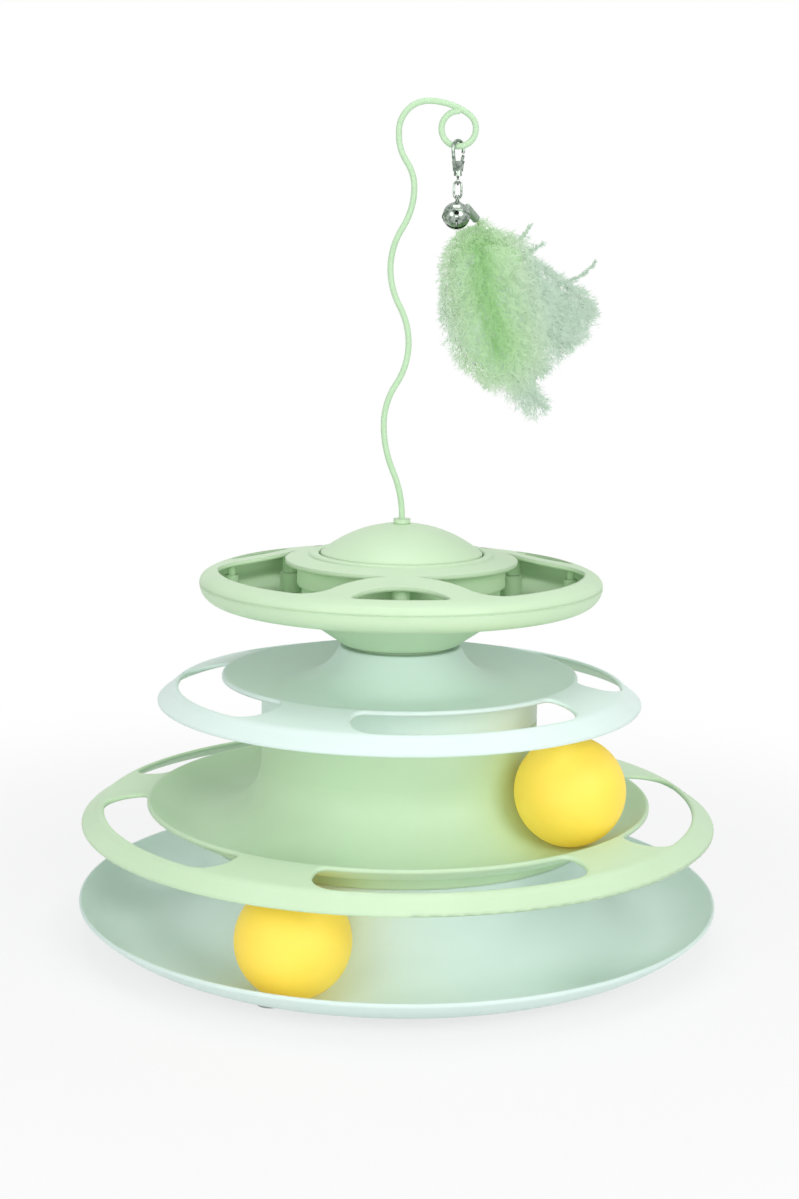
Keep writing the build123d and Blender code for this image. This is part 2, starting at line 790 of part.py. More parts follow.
def wand_wire():
    """Stiff coated wire: waves made of tangent arcs, a crown and an end loop welded to itself."""
    start = (0, dome_top + wire_lead)
    path = [Line((0, dome_top - wire_grip), start)]
    for x, rise in wand_crests:
        crest = (x, dome_top + rise)
        middle_point = ((start[0] + crest[0]) / 2, (start[1] + crest[1]) / 2)
        path.append(TangentArc(start, middle_point, tangent=(0, 1)))
        path.append(TangentArc(middle_point, crest, tangent=path[-1] % 1))
        start = crest
    path.append(Line(start, (start[0], start[1] + wand_crown_rise)))
    crown, center, lead = wand_layout()
    path.append(CenterArc((crown[0], crown[1] - wand_crown_round), wand_crown_round, 180, -90))
    hinge = (crown[0], crown[1] - lead)
    join = math.degrees(math.atan2(center[1] - hinge[1], center[0] - hinge[0]))
    path.append(CenterArc(hinge, lead, 90, join - 90))
    apart = wire_diameter + loop_end_gap
    offset = lead - loop_radius
    cosine = ((lead - apart) ** 2 - offset**2 - loop_radius**2) / (2 * offset * loop_radius)
    end_gap = math.degrees(math.acos(cosine)) + math.degrees(loop_end_gap / loop_radius)
    path.append(CenterArc(center, loop_radius, join, end_gap - 360))
    route = Plane.XZ * Wire(path)
    wire = sweep(Plane(route @ 0, z_dir=route % 0) * Circle(wire_radius), path=route)
    length = sum(edge.length for edge in path)
    print("wand wire: length %.1f, volume %.1f, section times length %.1f"
          % (length, wire.volume, math.pi * wire_radius**2 * length))
    closing = Plane.XZ * CenterArc(center, loop_radius, join + end_gap, -loop_close)
    return wire + sweep(Plane(closing @ 0, z_dir=closing % 0) * Circle(wire_radius), path=closing)


crown_point, loop_center, lead_radius = wand_layout()
hang_x = loop_center[0]
hang_height = loop_center[1] - loop_radius

# Heights along the hanging chain, measured from the loop's lowest wire
hook_center = wire_radius + clasp_clear - hook_radius + strand_radius
clasp_bottom = -clasp_length
housing_top = clasp_bottom + swivel_housing_height
shoulder_height = housing_top + clasp_body_height
gate_pivot = (1.2, housing_top + clasp_body_height * 0.6)
eye_center = clasp_bottom - swivel_gap - eye_wire - eye_radius
link_top = eye_center - eye_radius + eye_wire + hang_gap + link_wire
link_bottom = link_top + 2 * link_wire - link_length
chain_place = Pos(hang_x, 0, hang_height)
clasp_place = chain_place * Rot(0, 0, clasp_turn)
bell_place = Pos(hang_x, 0, hang_height + link_bottom) * Rot(bell_lean, 0, 0)
feather_pivot = Pos(hang_x, 0, hang_height + link_bottom)
feather_place = feather_pivot * Rot(ferrule_lean, 0, 0)
loop_top = link_wire + hang_gap + loop_wire
loop_middle = loop_top - small_loop_radius
bell_center = loop_middle - small_loop_radius - bell_neck - bell_radius + bell_wall / 2


def across(point, radius, low, high):
    """Pin square to the clasp's plane, between two depths."""
    length = high - low
    pin = Rot(-90, 0, 0) * Cylinder(radius, length, align=(Align.CENTER, Align.CENTER, Align.MIN))
    return Pos(point[0], low, point[1]) * pin


def plate_solid(points, low, high):
    """Flat piece in the clasp's plane, between two depths."""
    face = make_face(outline(points + points[:1]))
    return Pos(0, high, 0) * extrude(Plane.XZ * face, high - low)


def clasp_body():
    """Hook, forked body and swivel housing of the clasp."""
    start = (-clasp_shoulder_width / 2 + strand_radius, shoulder_height - clasp_body_height / 2)
    side = (-hook_radius, hook_center)
    strand = [
        TangentArc(side, start, tangent=(0, -1)),
        CenterArc((0, hook_center), hook_radius, 180, hook_tip_angle - 180),
    ]
    route = Plane.XZ * Wire(strand)
    body = sweep(Plane(route @ 0, z_dir=route % 0) * Circle(strand_radius), path=route)
    half_top, half_base, half = clasp_shoulder_width / 2, clasp_base_width / 2, clasp_thickness / 2
    block = plate_solid(
        [
            (-half_top, shoulder_height),
            (half_top, shoulder_height),
            (half_base, housing_top - wall / 4),
            (-half_base, housing_top - wall / 4),
        ],
        -half,
        half,
    )
    body += fillet(block.edges().filter_by(Axis.Y), strand_radius / 2)
    body += rod(swivel_housing_radius, clasp_bottom, housing_top)
    slot_half = gate_slot / 2
    slot = plate_solid(
        [
            (gate_pivot[0] - gate_hub_radius - swivel_gap, shoulder_height + 1),
            (half_top + 1, shoulder_height + 1),
            (half_top + 1, gate_pivot[1] - gate_hub_radius - swivel_gap),
            (gate_pivot[0] - gate_hub_radius - swivel_gap, gate_pivot[1] - gate_hub_radius - swivel_gap),
        ],
        -slot_half,
        slot_half,
    )
    body -= slot
    body -= across(gate_pivot, gate_pin_radius, -half, half)
    cavity_low = clasp_bottom + swivel_stem_radius
    body -= rod(swivel_head_radius + swivel_gap, cavity_low, cavity_low + swivel_head_height + 2 * swivel_gap)
    body -= rod(swivel_stem_radius + swivel_fit, clasp_bottom, cavity_low)
    return clasp_place * body


def clasp_pin():
    """Rivet that the gate turns on."""
    return clasp_place * across(gate_pivot, gate_pin_radius, -clasp_thickness / 2, clasp_thickness / 2)


def gate_depths():
    """Depths of the gate and of its spring across the fork."""
    low = -gate_slot / 2 + swivel_gap / 2
    spring_low = low + gate_thickness + swivel_gap / 2
    return low, low + gate_thickness, spring_low, spring_low + gate_spring_thickness


def clasp_gate():
    """Sprung gate with its thumb lever."""
    low, high, _, _ = gate_depths()
    tip_turn = math.radians(hook_tip_angle)
    tip = (
        hook_radius * math.cos(tip_turn),
        hook_center + hook_radius * math.sin(tip_turn) - gate_tip_gap - strand_radius,
    )
    run = math.hypot(tip[0] - gate_pivot[0], tip[1] - gate_pivot[1])
    side = ((tip[1] - gate_pivot[1]) * gate_width / 2 / run, -(tip[0] - gate_pivot[0]) * gate_width / 2 / run)
    arm = plate_solid(
        [
            (gate_pivot[0] - side[0], gate_pivot[1] - side[1]),
            (gate_pivot[0] + side[0], gate_pivot[1] + side[1]),
            (tip[0] + side[0], tip[1] + side[1]),
            (tip[0] - side[0], tip[1] - side[1]),
        ],
        low,
        high,
    )
    root = (gate_pivot[0] + (tip[0] - gate_pivot[0]) * 0.35, gate_pivot[1] + (tip[1] - gate_pivot[1]) * 0.35)
    lever = plate_solid(
        [
            (root[0], root[1] - gate_width / 2),
            (root[0] + gate_lever_length, root[1] - gate_width / 4),
            (root[0] + gate_lever_length, root[1] + gate_width / 4),
            (root[0], root[1] + gate_width / 2),
        ],
        low,
        high,
    )
    gate = arm + lever + across(gate_pivot, gate_hub_radius, low, high)
    return clasp_place * (gate - across(gate_pivot, gate_pin_radius + gate_pin_fit, low, high))


def gate_spring():
    """Flat spring ring beside the gate's hub."""
    _, _, low, high = gate_depths()
    spring = across(gate_pivot, gate_hub_radius, low, high)
    return clasp_place * (spring - across(gate_pivot, gate_pin_radius, low, high))


def swivel_eye():
    """Headed stem that turns in the clasp's housing, with an eye for the link."""
    head_low = clasp_bottom + swivel_stem_radius + swivel_gap
    stem_low = eye_center + eye_radius
    eye = Rot(0, 90, 0) * Torus(eye_radius, eye_wire)
    eye = Pos(0, 0, eye_center) * eye
    eye += rod(swivel_stem_radius, stem_low, head_low + swivel_head_height)
    eye += rod(swivel_head_radius, head_low, head_low + swivel_head_height)
    return chain_place * eye


def chain_link():
    """Oval wire link."""
    top = link_top - link_half_width
    low = link_bottom + link_half_width
    route = Plane.XZ * Wire(
        [
            CenterArc((0, top), link_half_width, 0, 180),
            Line((-link_half_width, top), (-link_half_width, low)),
            CenterArc((0, low), link_half_width, 180, 180),
            Line((link_half_width, low), (link_half_width, top)),
        ]
    )
    return chain_place * sweep(Plane(route @ 0, z_dir=route % 0) * Circle(link_wire), path=route)


def hanging_loop(side):
    """Small wire eye round the link's lower end."""
    return Pos(side * loop_spread, 0, loop_middle) * Rot(0, 90, 0) * Torus(small_loop_radius, loop_wire)


def bell_top():
    """Upper bell shell with its eye."""
    shell = Sphere(bell_radius) - Sphere(bell_radius - bell_wall)
    shell &= Pos(0, 0, bell_radius) * Box(4 * bell_radius, 4 * bell_radius, 2 * bell_radius)
    place = Pos(-loop_spread, 0, bell_center)
    neck_low = bell_center + bell_radius - bell_wall
    neck_high = loop_middle - small_loop_radius
    neck = rod(bell_neck_radius, neck_low, neck_high, Pos(-loop_spread, 0, 0))
    neck -= place * Sphere(bell_radius - bell_wall)
    return bell_place * (place * shell + neck + hanging_loop(-1))


def bell_bottom():
    """Lower bell shell with its crossed sound slots and the rolled seam."""
    shell = Sphere(bell_radius) - Sphere(bell_radius - bell_wall)
    shell &= Pos(0, 0, -bell_radius) * Box(4 * bell_radius, 4 * bell_radius, 2 * bell_radius)
    seam = Pos(0, 0, -bell_ridge) * Torus(bell_radius, bell_ridge)
    seam -= Sphere(bell_radius - bell_wall)
    shell += seam
    reach = bell_radius - bell_slot_reach
    depth = Pos(0, 0, -bell_radius)
    for turn in (0, 90):
        shell -= Rot(0, 0, turn) * depth * Box(2 * reach, bell_slot_width, 2 * reach)
    for turn in (0, 90, 180, 270):
        hole = Rot(0, 90, 0) * Cylinder(bell_slot_width, 2 * bell_wall + bell_ridge)
        shell -= (
            Rot(0, 0, turn)
            * Pos(math.sqrt(bell_radius**2 - (bell_radius - reach) ** 2), 0, reach - bell_radius)
            * hole
        )
    return bell_place * Pos(-loop_spread, 0, bell_center) * shell


def bell_pellet():
    """Loose pellet that makes the bell ring."""
    drop = bell_radius - bell_wall - pellet_radius - pellet_gap
    return bell_place * Pos(-loop_spread, 0, bell_center - drop) * Sphere(pellet_radius)


def ferrule_axis():
    """Frame along the ferrule, from the link's lower end outwards."""
    return feather_place * Pos(loop_spread, 0, 0) * Rot(0, 180 - ferrule_tilt, 0)


def feather_ferrule():
    """Crimped metal cap with the eye that hangs it on the link."""
    cap = Pos(0, 0, ferrule_start) * Cylinder(
        ferrule_radius, ferrule_length, align=(Align.CENTER, Align.CENTER, Align.MIN)
    )
    nose = cap.edges().group_by(Axis.Z)[0]
    cap = fillet(nose, min(ferrule_nose, ferrule_radius - loop_wire) / 2)
    bore_low = ferrule_start + ferrule_length - quill_grip
    cap -= rod(quill_radius, bore_low, ferrule_start + ferrule_length)
    eye_foot = (feather_place * Pos(loop_spread, 0, loop_middle - small_loop_radius)).position
    cap_start = (ferrule_axis() * Pos(0, 0, ferrule_start + loop_wire)).position
    route = Line(eye_foot, cap_start)
    stem = sweep(Plane(route @ 0, z_dir=route % 0) * Circle(loop_wire), path=route)
    return ferrule_axis() * cap + stem + feather_place * hanging_loop(1)


def quill_route():
    """Centre line of the quill: out of the ferrule, then down through the plume."""
    end = ferrule_start + ferrule_length
    inside = ferrule_axis() * Pos(0, 0, end - quill_grip)
    mouth = ferrule_axis() * Pos(0, 0, end + quill_turn_round * 0.75)
    points = [inside.position, mouth.position]
    points += [(feather_pivot * Pos(*point)).position for point in quill_points]
    return FilletPolyline(*points, radius=quill_turn_round)


def feather_quill():
    """Curved shaft of the feather."""
    route = quill_route()
    shaft = sweep(Plane(route @ 0, z_dir=route % 0) * Circle(quill_radius), path=route)
    print("quill: length %.1f, volume %.2f, section times length %.2f"
          % (route.length, shaft.volume, math.pi * quill_radius**2 * route.length))
    return shaft


def feather_plume():
    """Plain closed body of the downy plume round the quill."""
    sections = []
    for height, left, right, depth, half in plume_sections:
        place = Pos((left + right) / 2, depth, height)
        sections.append(feather_pivot * place * Ellipse((right - left) / 2, half))
    return loft(sections) - feather_quill()


def lower_ball():
    """Ball in the base tray."""
    return ball(base_orbit, lower_ball_angle, tray_floor)


def upper_ball():
    """Ball on the lower tier."""
    return ball(lower.orbit + lower.flat / 2, upper_ball_angle, lower_floor)


PIECES = [
    base_tray,
    base_feet,
    lower_ball,
    lower_track,
    upper_ball,
    middle_track,
    top_bowl,
    top_cover,
    cover_screws,
    dome_cap,
    dome_retainer,
    dome_screw,
    wand_collar,
    wand_wire,
    clasp_body,
    clasp_pin,
    clasp_gate,
    gate_spring,
    swivel_eye,
    chain_link,
    bell_top,
    bell_bottom,
    bell_pellet,
    feather_ferrule,
    feather_quill,
    feather_plume,
]

os.makedirs("parts", exist_ok=True)
for piece in PIECES:
    export_step(piece(), os.path.join("parts", piece.__name__ + ".step"))
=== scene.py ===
import math

import bpy
import numpy as np
from mathutils import Matrix, Vector
from mathutils.bvhtree import BVHTree


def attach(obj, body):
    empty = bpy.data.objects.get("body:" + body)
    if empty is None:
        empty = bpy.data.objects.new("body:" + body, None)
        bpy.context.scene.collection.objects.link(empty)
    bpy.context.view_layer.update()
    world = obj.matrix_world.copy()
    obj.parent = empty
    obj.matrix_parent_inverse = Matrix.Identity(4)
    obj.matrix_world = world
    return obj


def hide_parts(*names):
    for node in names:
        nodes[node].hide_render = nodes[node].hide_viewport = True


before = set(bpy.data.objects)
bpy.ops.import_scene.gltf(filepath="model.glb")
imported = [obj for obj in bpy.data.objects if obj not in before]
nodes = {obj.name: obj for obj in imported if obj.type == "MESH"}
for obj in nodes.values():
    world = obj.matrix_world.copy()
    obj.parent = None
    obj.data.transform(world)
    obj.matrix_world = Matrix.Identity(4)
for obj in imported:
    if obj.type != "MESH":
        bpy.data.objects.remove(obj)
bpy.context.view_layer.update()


def tint(red, green, blue):
    """A 0 to 255 screen colour as linear light."""
    steps = [channel / 255 for channel in (red, green, blue)]
    return tuple(s / 12.92 if s < 0.04 else ((s + 0.055) / 1.055) ** 2.4 for s in steps) + (1.0,)


# Shader sockets as values

BEVEL_SAMPLES = 6


class Value:
    """A shader socket that takes part in Python expressions."""

    def __init__(self, graph, socket):
        self.graph = graph
        self.socket = socket

    def maths(self, operation, first, second):
        return self.graph.node("ShaderNodeMath", {"operation": operation}, {0: first, 1: second})

    def __add__(self, other):
        return self.maths("ADD", self, other)

    def __radd__(self, other):
        return self.maths("ADD", other, self)

    def __sub__(self, other):
        return self.maths("SUBTRACT", self, other)

    def __rsub__(self, other):
        return self.maths("SUBTRACT", other, self)

    def __mul__(self, other):
        return self.maths("MULTIPLY", self, other)

    def __rmul__(self, other):
        return self.maths("MULTIPLY", other, self)

    def __pow__(self, other):
        return self.maths("POWER", self, other)

    def or_more(self, other):
        return self.maths("MAXIMUM", self, other)

    def between(self, low, high):
        """0 below low, 1 above high, smooth in between."""
        sockets = {"Value": self, "From Min": low, "From Max": high}
        return self.graph.node("ShaderNodeMapRange", {"interpolation_type": "SMOOTHSTEP"}, sockets)


class Graph:
    """The nodes of a material or a world, all made and fed in one way."""

    def __init__(self, tree):
        self.tree = tree

    def node(self, kind, settings=None, sockets=None, output=0):
        """Adds a node, sets it, feeds its sockets and returns one of its outputs."""
        made = self.tree.nodes.new(kind)
        for key, value in (settings or {}).items():
            if key == "stops":
                ramp = made.color_ramp
                while len(ramp.elements) < len(value):
                    ramp.elements.new(1.0)
                for element, (at, colour) in zip(ramp.elements, value):
                    element.position = at
                    element.color = colour
            else:
                setattr(made, key, value)
        for key, value in (sockets or {}).items():
            self.feed(made.inputs[key], value)
        return Value(self, made.outputs[output])

    def feed(self, socket, value):
        if isinstance(value, Value):
            self.tree.links.new(value.socket, socket)
        else:
            socket.default_value = value

    def looked_at(self):
        """1 for rays from the camera, off gloss and through clear pieces, 0 for rays that only light."""
        kinds = ("Is Camera Ray", "Is Glossy Ray", "Is Transmission Ray")
        camera, gloss, clear = (self.node("ShaderNodeLightPath", output=kind) for kind in kinds)
        return camera.or_more(gloss).or_more(clear)


class Finish(Graph):
    """A procedural material: one principled shader and the nodes that feed it."""

    def __init__(self, name, **sockets):
        self.material = bpy.data.materials.new(name)
        self.material.use_nodes = True
        super().__init__(self.material.node_tree)
        self.shader = self.tree.nodes["Principled BSDF"]
        for key, value in sockets.items():
            self.shader.inputs[key.replace("_", " ")].default_value = value
        self.place = self.node("ShaderNodeTexCoord", output="Object")

    def noise(self, scale, detail, roughness):
        sockets = {"Vector": self.place, "Scale": scale, "Detail": detail, "Roughness": roughness}
        return self.node("ShaderNodeTexNoise", {}, sockets)

    def mix(self, factor, first, second):
        return self.node("ShaderNodeMix", {"data_type": "RGBA"}, {0: factor, 6: first, 7: second}, 2)

    def part(self, axis):
        return self.node("ShaderNodeSeparateXYZ", {}, {0: self.place}, axis)

    def softened(self, radius):
        """The surface's normal, rounded over edges within a radius."""
        return self.node("ShaderNodeBevel", {"samples": BEVEL_SAMPLES}, {"Radius": radius})

    def bump(self, height, strength, distance, normal=None):
        sockets = {"Height": height, "Strength": strength, "Distance": distance}
        if normal:
            sockets["Normal"] = normal
        return self.node("ShaderNodeBump", {}, sockets)

    def edges(self, radius):
        """1 along sharp outside edges and inside corners, 0 on open faces."""
        soft = self.softened(radius)
        true = self.node("ShaderNodeNewGeometry", output="Normal")
        match = {"operation": "DOT_PRODUCT"}
        return 1 - self.node("ShaderNodeVectorMath", match, {0: soft, 1: true}, "Value")

    def surface(self, **links):
        for key, value in links.items():
            self.feed(self.shader.inputs[key.replace("_", " ")], value)
        return self.material


# Finishes of the toy

# Radii in metres over which moulded edges are painted with a pale highlight and shaded soft
PAINTED_HIGHLIGHT_RADIUS = 0.0008
SOFT_RADIUS = 0.0015
# Painted glow that stands in for light coming through the thin ball and the down, as strengths of emission
BALL_PAINTED_GLOW = 0.14
DOWN_PAINTED_GLOW = 0.25


def moulded(name, light, deep, highlight_colour):
    """Satin moulded plastic: faint flow mottling, spark-eroded grain and a painted pale highlight along
    edges and inside corners.
    """
    finish = Finish(name, IOR=1.46, Specular_IOR_Level=0.42)
    flow = finish.noise(scale=18.0, detail=3.0, roughness=0.55).between(0.3, 0.7)
    speck = finish.noise(scale=420.0, detail=2.0, roughness=0.6)
    grain = finish.noise(scale=2600.0, detail=1.0, roughness=0.5)
    # Painted highlight: edges and inside corners are lightened towards a paler colour
    painted_edge_highlight = finish.edges(PAINTED_HIGHLIGHT_RADIUS).between(0.04, 0.35)
    colour = finish.mix(flow * 0.55 + speck * 0.25, light, deep)
    colour = finish.mix(painted_edge_highlight * 0.5, colour, highlight_colour)
    rough = 0.4 + flow * 0.06 + speck * 0.06
    soft = finish.softened(SOFT_RADIUS)
    grains = finish.bump(grain, strength=0.12, distance=0.00005, normal=soft)
    return finish.surface(Base_Color=colour, Roughness=rough, Normal=grains)


def ball_shell():
    """Matt yellow ball: a thin shell that light comes through, faintly clouded and grained, with a painted
    orange glow on top.
    """
    finish = Finish(
        "ball_yellow",
        IOR=1.45,
        Subsurface_Weight=0.25,
        Subsurface_Scale=0.006,
        Subsurface_Radius=(1.0, 0.55, 0.12),
        Emission_Strength=BALL_PAINTED_GLOW,
    )
    cloud = finish.noise(scale=45.0, detail=3.0, roughness=0.5)
    grain = finish.noise(scale=3000.0, detail=1.0, roughness=0.5)
    colour = finish.mix(cloud, tint(255, 230, 98), tint(255, 222, 84))
    rough = 0.46 + cloud * 0.1
    # Painted glow: orange emission that makes the ball shine as if lit through, though it is no lamp
    painted_glow = finish.mix(cloud, tint(255, 196, 60), tint(255, 186, 48))
    grains = finish.bump(grain, strength=0.08, distance=0.00004)
    return finish.surface(Base_Color=colour, Roughness=rough, Normal=grains, Emission_Color=painted_glow)


def soft_rubber():
    """Dull pale rubber with a fine speck."""
    finish = Finish("foot_rubber", IOR=1.5)
    speck = finish.noise(scale=900.0, detail=3.0, roughness=0.6)
    colour = finish.mix(speck, tint(208, 212, 206), tint(190, 196, 190))
    rough = 0.75 + speck * 0.15
    specks = finish.bump(speck, strength=0.2, distance=0.0001)
    return finish.surface(Base_Color=colour, Roughness=rough, Normal=specks)


def plated(name, bright, dull, rough):
    """Plated metal with fine pitting and patches of two colours: handling haze, and painted reflection
    where the two colours stand far apart.
    """
    finish = Finish(name, Metallic=1.0)
    haze_and_reflection = finish.noise(scale=700.0, detail=3.0, roughness=0.6)
    pit = finish.noise(scale=4000.0, detail=1.0, roughness=0.5)
    colour = finish.mix(haze_and_reflection.between(0.35, 0.7), bright, dull)
    pits = finish.bump(pit, strength=0.1, distance=0.00003)
    return finish.surface(Base_Color=colour, Roughness=rough + haze_and_reflection * 0.12, Normal=pits)


def coated_wire():
    """Smooth coat on the wire, a little uneven along its length."""
    finish = Finish("wand_coat", IOR=1.47, Specular_IOR_Level=0.3)
    cloud = finish.noise(scale=70.0, detail=1.0, roughness=0.5)
    colour = finish.mix(cloud, tint(198, 229, 192), tint(190, 222, 184))
    return finish.surface(Base_Color=colour, Roughness=0.5 + cloud * 0.1)


def crimped_metal():
    """Hazy grey metal, slightly dented by the crimping, its green-tinted pale and dark patches partly
    painted reflection.
    """
    finish = Finish("ferrule_metal", Metallic=0.85)
    haze_and_reflection = finish.noise(scale=900.0, detail=3.0, roughness=0.6)
    # Patches of haze and of painted reflection of the green toy around it
    colour = finish.mix(haze_and_reflection, tint(178, 192, 178), tint(128, 144, 130))
    dents = finish.bump(haze_and_reflection, strength=0.25, distance=0.0002)
    return finish.surface(Base_Color=colour, Roughness=0.38 + haze_and_reflection * 0.2, Normal=dents)


def dyed_horn():
    """Quill dyed green, a little uneven."""
    finish = Finish("quill_horn", IOR=1.54)
    streak = finish.noise(scale=600.0, detail=2.0, roughness=0.5)
    colour = finish.mix(streak, tint(176, 212, 120), tint(150, 190, 96))
    return finish.surface(Base_Color=colour, Roughness=0.45 + streak * 0.1)


def dyed_down():
    """Down dyed pale green: bright where its tone is 0, pale where it is 1, with a painted glow as if lit
    through.
    """
    finish = Finish("plume_down", Roughness=0.9, Specular_IOR_Level=0.1, Emission_Strength=DOWN_PAINTED_GLOW)
    tone = finish.node("ShaderNodeAttribute", {"attribute_name": "tone"}, output="Fac")
    stops = [
        (0.0, tint(156, 213, 134)),
        (0.3, tint(194, 231, 179)),
        (0.65, tint(207, 232, 200)),
        (1.0, tint(203, 225, 207)),
    ]
    colour = finish.node("ShaderNodeValToRGB", {"stops": stops}, {"Fac": tone})
    speck = finish.noise(scale=500.0, detail=2.0, roughness=0.5)
    colour = finish.mix(speck * 0.25, colour, tint(222, 240, 218))
    # Painted glow: a share of the colour is emitted as light and taken off the base colour
    unlit = finish.mix(DOWN_PAINTED_GLOW, colour, tint(0, 0, 0))
    return finish.surface(Base_Color=unlit, Emission_Color=colour)


# The third colour of each plastic is its painted edge highlight
green = moulded("green_satin", tint(208, 234, 199), tint(200, 227, 190), tint(222, 243, 216))
mint = moulded("mint_satin", tint(229, 246, 241), tint(222, 241, 235), tint(238, 250, 247))
white = moulded("white_satin", tint(236, 236, 230), tint(226, 227, 221), tint(246, 246, 242))
# Nickel's green-tinted bright and dark patches are painted reflection of the green toy around it
chrome = plated("nickel_plate", tint(172, 184, 172), tint(92, 106, 96), 0.12)
steel = plated("zinc_steel", tint(180, 182, 184), tint(150, 153, 156), 0.3)
FINISHES = {
    green: ["lower_track", "top_bowl", "top_cover", "dome_cap", "wand_collar"],
    mint: ["base_tray", "middle_track"],
    white: ["dome_retainer"],
    ball_shell(): ["lower_ball", "upper_ball"],
    soft_rubber(): ["base_feet"],
    chrome: ["clasp_body", "clasp_gate", "swivel_eye", "chain_link", "bell_top", "bell_bottom"],
    steel: ["cover_screws", "dome_screw", "clasp_pin", "gate_spring", "bell_pellet"],
    coated_wire(): ["wand_wire"],
    crimped_metal(): ["feather_ferrule"],
    dyed_horn(): ["feather_quill"],
}
for material, names in FINISHES.items():
    for name in names:
        nodes[name].data.materials.clear()
        nodes[name].data.materials.append(material)


# Down of the feather

MM = 0.001
LEAST_LENGTH = 1e-9
# The ring that the feather hangs on; the down's points are in mm from it
DOWN_ROOT = np.array((18.8, 0.0, 278.5))
DEPTH = (0.0, 1.0, 0.0)

# Shafts of the bunched down, the tuft at its root and its loose wisps
SHAFTS = [
    [
        (9.4, 6.6, -14.5),
        (11.3, 2.2, -25.0),
        (14.5, 0.0, -39.0),
        (19.5, 0.0, -54.0),
        (27.5, 0.0, -69.0),
        (32.0, 0.0, -76.0),
    ],
    [
        (8.9, 7.5, -9.5),
        (5.0, 5.0, -18.0),
        (1.5, 2.0, -30.0),
        (0.0, 0.0, -42.0),
        (2.0, -1.0, -52.0),
        (7.0, 0.0, -60.0),
        (13.0, 0.0, -68.0),
    ],
    [
        (9.0, 7.0, -10.0),
        (17.0, 5.0, -15.0),
        (27.0, 3.0, -22.0),
        (37.0, 1.0, -29.0),
        (46.0, 0.0, -36.0),
        (50.0, 0.0, -40.0),
    ],
    [(9.2, 7.0, -11.0), (18.0, 3.0, -22.0), (27.0, 1.0, -33.0), (35.0, 0.0, -43.0), (41.0, 0.0, -50.0)],
    [
        (9.0, 7.0, -10.0),
        (7.0, -1.0, -22.0),
        (8.0, -4.0, -36.0),
        (13.0, -4.0, -50.0),
        (20.0, -3.0, -62.0),
        (27.0, -2.0, -72.0),
    ],
    [(9.0, 7.0, -10.0), (13.0, 6.0, -22.0), (18.0, 6.0, -36.0), (24.0, 5.0, -50.0), (30.0, 3.0, -62.0)],
    [(14.0, 0.0, -24.0), (24.0, -3.0, -31.0), (36.0, -3.0, -37.0), (47.0, -1.0, -43.0)],
    [(17.0, -2.0, -36.0), (26.0, -4.0, -43.0), (35.0, -3.0, -49.0), (43.0, -1.0, -53.0)],
    [(16.0, -3.0, -42.0), (21.0, -5.0, -50.0), (27.0, -4.0, -57.0), (31.0, -2.0, -64.0)],
    [(8.0, 7.0, -10.0), (2.0, 4.0, -14.0), (-2.0, 1.0, -22.0), (-4.0, 0.0, -32.0), (-3.5, 0.0, -43.0)],
    [(9.0, 0.0, -18.0), (10.5, -4.5, -27.0), (12.5, -5.0, -36.0), (15.0, -4.5, -44.0)],
]
TUFT = [(7.0, 6.4, -7.0), (8.8, 7.4, -9.5), (9.4, 6.6, -14.5)]
WISPS = [
    [(38.0, 0.5, -31.0), (43.0, 0.0, -29.2), (47.5, 0.0, -26.8), (51.2, 0.0, -22.8)],
    [(24.0, 2.0, -22.0), (28.0, 1.0, -18.5), (31.5, 0.0, -16.0)],
    [(21.0, 3.0, -16.0), (25.0, 2.0, -13.0), (27.0, 1.0, -9.5)],
]
SHAFT_STEP = 2.0
SHAFT_WIDTH = 0.84

# Run of the brightest dye, and how far from it the dye starts and stops fading
STREAK = [(8.5, 0.0, -19.0), (11.0, 0.0, -33.0), (14.0, 0.0, -45.0), (16.0, 0.0, -55.0)]
STREAK_REACH = (1.0, 21.0)
STREAK_WEIGHTS = np.array((1.0, 0.2, 1.0))

# Matted core, in metres and as shares of the feather's solid
MERGE_GAP = 0.00001
CORE_GRAIN = 0.0012
CORE_INSET = 0.0015
CORE_SHRINK = (0.78, 0.36, 0.82)

# Barbs, which stand out of the shafts and clear of the core
BARB_SPACING = 0.2
BARB_LENGTH = (9.0, 19.0)
TUFT_LENGTH = (3.0, 7.0)
WISP_LENGTH = (0.5, 1.7)
ROOM_SHARE = (0.8, 1.1)
BARB_WIDTH = 0.28
BARB_POINTS = 6
BARB_LEAN = (0.55, 1.25)
BARB_CURL = (0.05, 0.4)
WAVE_HEIGHT = 0.07
WAVE_TURN = (2.0, 6.0)
CORE_HALF = 1.5
CLEARING_RATE = 3.0
FLATTEN = np.array((1.0, 0.65, 1.0))

# Barbules, the threads along each barb
BARBULES = 14
BARBULE_LENGTH = (2.0, 4.4)
BARBULE_TAPER = (1.1, 0.6)
BARBULE_MOST = 0.35
BARBULE_WIDTH = 0.19
BARBULE_LEAN = 0.7
BARBULE_KNEE = 0.55
TIP_LEAN = 0.6
TIP_SCATTER = 0.25
BARE_FOOT = 0.6
BARE_TIP = 0.01

# Strips and the puff that they are shaded as
RIBBON_TAPER = (0.5, 0.12)
DOWN_MIDDLE = np.array((17.0, 0.0, -42.0))
DOWN_HALF_SIZE = np.array((30.0, 10.0, 36.0))
FRONT_SHARE = 0.07
FACING_SCATTER = 0.35
DOWN_SEED = 7


